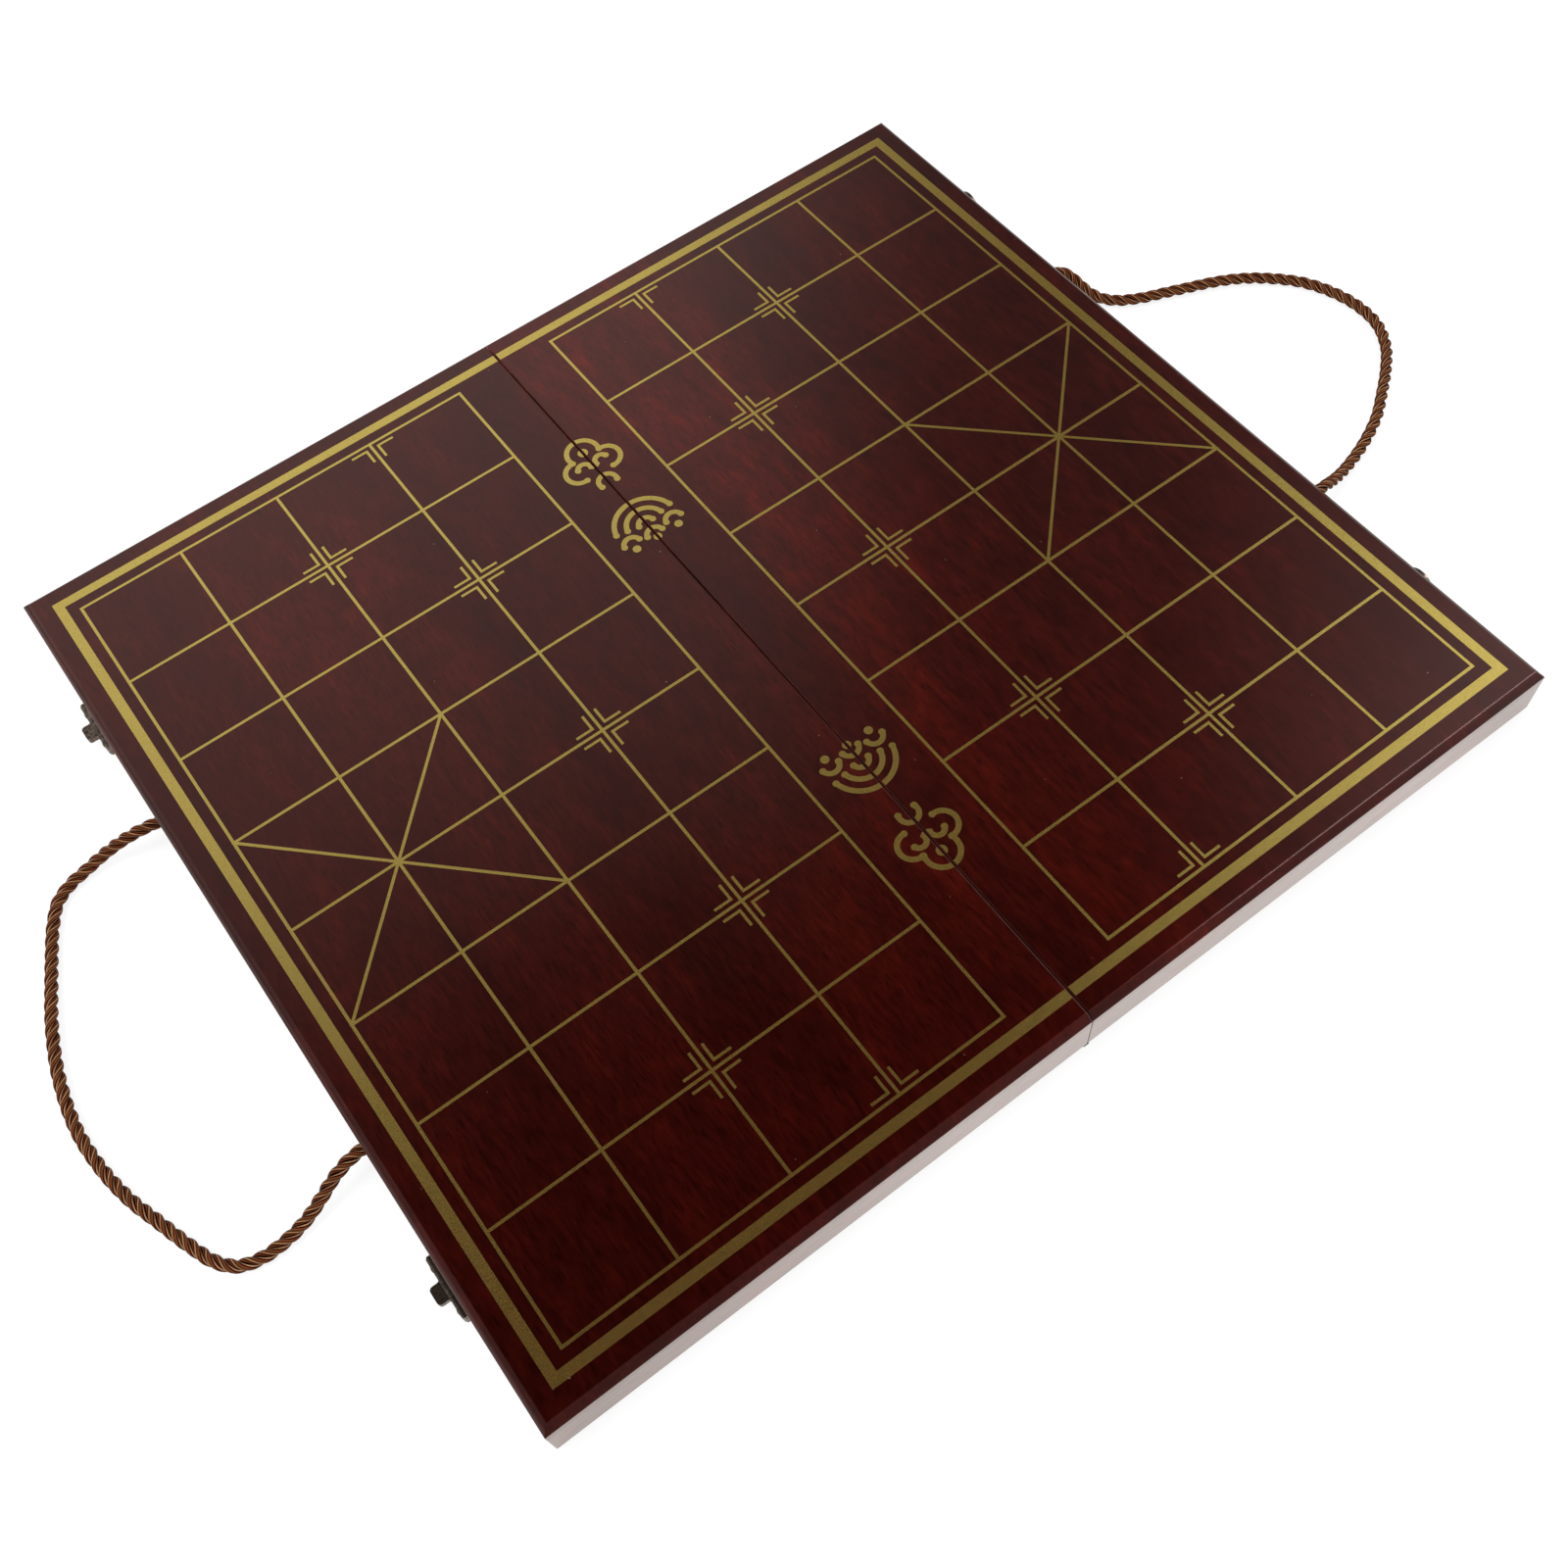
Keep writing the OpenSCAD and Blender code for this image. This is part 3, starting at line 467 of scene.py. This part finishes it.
PANEL_WOOD = {
    "tones": (
        (0.36, (0.0055, 0.0009, 0.0005)),
        (0.45, (0.0125, 0.0012, 0.0006)),
        (0.52, (0.0190, 0.0017, 0.0008)),
        (0.60, (0.0310, 0.0024, 0.0011)),
        (0.70, (0.0520, 0.0036, 0.0016)),
    ),
    "coat_ior": 1.45,
    "tint": (1.0, 0.07, 0.045),
    "panel": True,
}
WALL_WOOD = {
    "tones": (
        (0.36, (0.030, 0.0050, 0.0024)),
        (0.50, (0.065, 0.0095, 0.0045)),
        (0.66, (0.110, 0.0150, 0.0070)),
    ),
    "coat_ior": 1.66,
    "tint": (1.0, 0.45, 0.38),
}
dress(["left_play_panel"], lacquered("panel_lacquer_left", "Y", (3.1, 0.7, 0.2), **PANEL_WOOD))
dress(["right_play_panel"], lacquered("panel_lacquer_right", "Y", (8.4, 5.2, 1.9), streak=True, **PANEL_WOOD))
wall_along_y = lacquered("wall_lacquer_long", "Y", (1.3, 2.9, 4.2), **WALL_WOOD)
wall_along_x = lacquered("wall_lacquer_cross", "X", (6.3, 1.1, 2.4), **WALL_WOOD)
dress(["left_outer_wall", "left_inner_wall", "right_outer_wall", "right_inner_wall"], wall_along_y)
dress(["left_front_wall", "left_back_wall", "right_front_wall", "right_back_wall"], wall_along_x)

# Gold print: metal flakes in an orange-brown binder
ink, n, shader = material("gold_ink")
fleck = n.noise(n.spread(14000), 2.0, 0.6)
patch = n.noise(n.spread(60), 3.0, 0.6)
flake = n.ramp(fleck, (0.37, 0.0), (0.45, 1.0))
bright = n.mix(n.ramp(fleck, (0.5, 0.0), (0.72, 1.0)), (0.78, 0.636, 0.155), (1.0, 0.865, 0.275))
bright = n.times(bright, n.ramp(patch, (0.3, 0.78), (0.7, 1.0)), 0.25)
link(
    n, shader,
    Base_Color=n.mix(flake, (0.21, 0.004, 0.0004), bright),
    Metallic=n.math("MULTIPLY", flake, 0.965),
    Roughness=n.ramp(patch, (0.3, 0.10), (0.7, 0.07)),
    Normal=n.bump(fleck, 1.0, 0.0000175),
)
dress(["left_gold_print", "right_gold_print"], ink)

# Flocked lining
flock, n, shader = material("green_flock")
pile = n.noise(n.spread(1800), 3.0, 0.7)
nap = n.noise(n.spread((16, 9, 16)), 3.0, 0.55)
green = n.ramp(nap, (0.35, (0.0085, 0.030, 0.017)), (0.65, (0.016, 0.052, 0.030)))
link(
    n, shader,
    Base_Color=n.times(green, n.ramp(pile, (0.3, 0.45), (0.7, 1.0)), 0.5),
    Normal=n.bump(pile, 0.6, 0.0003),
)
settle(
    shader, Roughness=0.95, Specular_IOR_Level=0.2,
    Sheen_Weight=0.8, Sheen_Roughness=0.5, Sheen_Tint=(0.35, 0.6, 0.45, 1),
)
dress(["left_lining", "right_lining"], flock)


# Latches, hinges and pins
def metal(name, dark, light, worn, smooth, rough, edge_radius, spot_scale, brushed=None):
    """Metal with patina in its hollows, rubbed bright along its edges."""
    made, n, shader = material(name)
    spots = n.noise(n.spread(spot_scale), 4.0, 0.65)
    grime = n.noise(n.spread(260), 3.0, 0.6)
    edge = n("Bevel", {"samples": 4}, Radius=edge_radius).outputs[0]
    flat = n("NewGeometry").outputs["Normal"]
    aligned = n("VectorMath", {"operation": "DOT_PRODUCT"}, i0=edge, i1=flat).outputs["Value"]
    rubbed = n.ramp(aligned, (0.80, 1.0), (0.985, 0.0))
    rubbed = n.math("MULTIPLY", rubbed, n.ramp(spots, (0.35, 0.3), (0.6, 1.0)), clamp=True)
    tone = n.mix(n.ramp(spots, (0.35, 0.0), (0.7, 1.0)), dark, light)
    tone = n.times(tone, n.ramp(grime, (0.3, 0.55), (0.65, 1.0)), 0.4)
    height = n.noise(n.spread(brushed)) if brushed else spots
    link(
        n, shader,
        Base_Color=n.mix(rubbed, tone, worn),
        Roughness=n.ramp(spots, (0.3, rough), (0.7, smooth)),
        Normal=n.bump(height, 0.25, 0.00008, Normal=edge),
    )
    settle(shader, Metallic=1.0)
    return made


bronze = metal(
    "antique_bronze", dark=(0.078, 0.056, 0.048), light=(0.34, 0.265, 0.22), worn=(0.62, 0.52, 0.45),
    smooth=0.22, rough=0.46, edge_radius=0.0004, spot_scale=900,
)
brass = metal(
    "hinge_brass", dark=(0.50, 0.34, 0.12), light=(0.66, 0.47, 0.19), worn=(0.82, 0.64, 0.32),
    smooth=0.22, rough=0.38, edge_radius=0.0003, spot_scale=700, brushed=(3000, 120, 3000),
)
steel = metal(
    "pin_steel", dark=(0.35, 0.35, 0.35), light=(0.52, 0.52, 0.53), worn=(0.7, 0.7, 0.7),
    smooth=0.25, rough=0.40, edge_radius=0.0002, spot_scale=900, brushed=(3000, 90, 3000),
)
dress(["catch_nails", "hasp_nails"], bronze)
for end in ("front", "back"):
    dress([end + "_catch_plate", end + "_hasp_base", end + "_hasp_flap"], bronze)
    dress([end + "_hinge_left_leaf", end + "_hinge_right_leaf"], brass)
    dress([end + "_hinge_pin", end + "_hasp_pin"], steel)
dress(["left_hinge_screws", "right_hinge_screws"], brass)

# Floor. Glossy rays see it darker away from the board, as the photo's reflections do.
FLOOR_REACH = 6.0
FOLD_SLIT = 0.0012
r = FLOOR_REACH
floor_mesh = bpy.data.meshes.new("studio_floor")
floor_mesh.from_pydata([(-r, -r, 0), (r, -r, 0), (r, r, 0), (-r, r, 0)], [], [(0, 1, 2, 3)])
floor = bpy.data.objects.new("studio_floor", floor_mesh)
bpy.context.scene.collection.objects.link(floor)
made = bpy.data.materials.new("studio_floor")
made.use_nodes = True
n = Nodes(made.node_tree)
out = n("OutputMaterial")
path = n("LightPath").outputs
sharp = n.math("ADD", path["Is Glossy Ray"], path["Is Transmission Ray"])
seen = n.math("ADD", path["Is Camera Ray"], sharp, clamp=True)
paper = n("BsdfDiffuse", None, Color=(0.80, 0.80, 0.80, 1)).outputs[0]
here = n.place()
past_right = n.math("MULTIPLY", n.math("SUBTRACT", here["X"], HALF_WIDTH), 4.0)
in_front = n.math("MINIMUM", n.math("ADD", here["Y"], HALF_LENGTH), 0.0)
past_x = n.math("SUBTRACT", n.math("ABSOLUTE", here["X"]), HALF_WIDTH)
past_x = n.math("MAXIMUM", past_x, n.math("MULTIPLY_ADD", in_front, 40.0, past_right))
past_y = n.math("SUBTRACT", n.math("ABSOLUTE", here["Y"]), HALF_LENGTH)
# Painted reflection: for glossy rays the floor's tone falls off away from the board and towards its right side, and
# changes across X; camera rays see it plain white.
away = n.ramp(
    n.math("MAXIMUM", past_x, past_y),
    (0.03, (1.03, 1.00, 0.96)), (0.06, (0.72, 0.70, 0.67)), (0.12, (0.35, 0.34, 0.32)), (0.25, (0.12, 0.11, 0.105)),
)
# Painted reflection tone across X, seen only by glossy rays.
reflected_floor_by_x = n.ramp(
    n.math("MULTIPLY_ADD", here["X"], 2.0, 0.5),
    (0.10, 0.80), (0.26, 0.90), (0.39, 1.04), (0.54, 1.0), (0.84, 1.0), (0.92, 0.86),
)
tone = n.mix(path["Is Camera Ray"], n.times(away, reflected_floor_by_x), (1, 1, 1))
# Painted shadow: the floor seen straight down through the fold is coloured dark, as it lies in the shade under the
# box
off_fold = n.math("SUBTRACT", n.math("ABSOLUTE", here["X"]), FOLD_SLIT)
in_the_open = n.math("GREATER_THAN", n.math("MAXIMUM", off_fold, past_y), 0.0)
tone = n.mix(in_the_open, (0.02, 0.018, 0.017), tone)
glow = n("Emission", None, Color=tone, Strength=0.80).outputs[0]
pale = n("BsdfDiffuse", None, Color=n.times(tone, (0.27, 0.27, 0.27))).outputs[0]
bright = n("AddShader", None, i0=pale, i1=glow).outputs[0]
made.node_tree.links.new(n("MixShader", None, i0=seen, i1=paper, i2=bright).outputs[0], out.inputs["Surface"])
floor_mesh.materials.append(made)

# Surroundings: an even soft sky, plain white behind, and for reflections a sky by height and bearing with one lamp
world = bpy.data.worlds.new("studio")
bpy.context.scene.world = world
world.use_nodes = True
n = Nodes(world.node_tree)
path = n("LightPath").outputs
direction = n.parts(n("TexCoord").outputs["Generated"])
height = direction["Z"]
bearing = n.math("MULTIPLY_ADD", n.math("ARCTAN2", direction["Y"], direction["X"]), 0.5 / math.pi, 0.5)
rising = n.ramp(
    height,
    (0.0, 0.50), (0.30, 0.65), (0.60, 0.76), (0.707, 0.66), (0.749, 0.60), (0.780, 0.53), (0.813, 0.46),
    (0.843, 0.36), (0.875, 0.21), (0.899, 0.07), (0.927, 0.01), (0.95, 0.0),
)
around = n.ramp(
    bearing,
    (0.0, 0.14), (0.33, 0.2), (0.42, 1.0), (0.5, 1.0), (0.5556, 0.85), (0.568, 0.52), (0.5806, 0.30),
    (0.592, 0.155), (0.603, 0.08), (0.628, 0.065), (0.639, 0.09), (0.650, 0.19), (0.667, 0.42), (0.680, 0.5),
    (0.728, 0.53), (0.753, 0.5), (0.85, 0.5), (0.944, 0.14),
)
lamp_high = n.ramp(height, (0.62, 0.0), (0.66, 1.0), (0.82, 1.0), (0.86, 0.0))
lamp_wide = n.ramp(bearing, (0.355, 0.0), (0.375, 1.0), (0.455, 1.0), (0.475, 0.0))
lamp_patch = n.mix(n.math("MULTIPLY", lamp_high, lamp_wide), (0, 0, 0), (3.5, 3.5, 3.5))
mirrored = n.times(n.mix(1.0, n.times(rising, around), lamp_patch, "ADD"), (1.0, 0.97, 0.92))
soft_sky = n("Background", None, Color=(1, 1, 1, 1), Strength=0.80).outputs[0]
card = n("Background", None, Color=mirrored, Strength=2.0).outputs[0]
white = n("Background", None, Color=(1, 1, 1, 1), Strength=1.0).outputs[0]
sharp = n.math("ADD", path["Is Glossy Ray"], path["Is Transmission Ray"], clamp=True)
mixed = n("MixShader", None, i0=sharp, i1=soft_sky, i2=card).outputs[0]
mixed = n("MixShader", None, i0=path["Is Camera Ray"], i1=mixed, i2=white).outputs[0]
world.node_tree.links.new(mixed, n("OutputWorld").inputs["Surface"])


def lamp(name, place, power):
    """A soft square lamp aimed at the middle of the board."""
    data = bpy.data.lights.new(name, "AREA")
    data.shape = "RECTANGLE"
    data.size, data.size_y = 0.7, 0.7
    data.energy = power
    made = bpy.data.objects.new(name, data)
    made.location = place
    made.visible_glossy = False
    made.rotation_euler = (-Vector(place)).to_track_quat("-Z", "Y").to_euler()
    bpy.context.scene.collection.objects.link(made)


lamp("soft_left", (-0.85, 0.15, 1.9), 12)
lamp("soft_front", (0.30, -0.95, 1.9), 5)
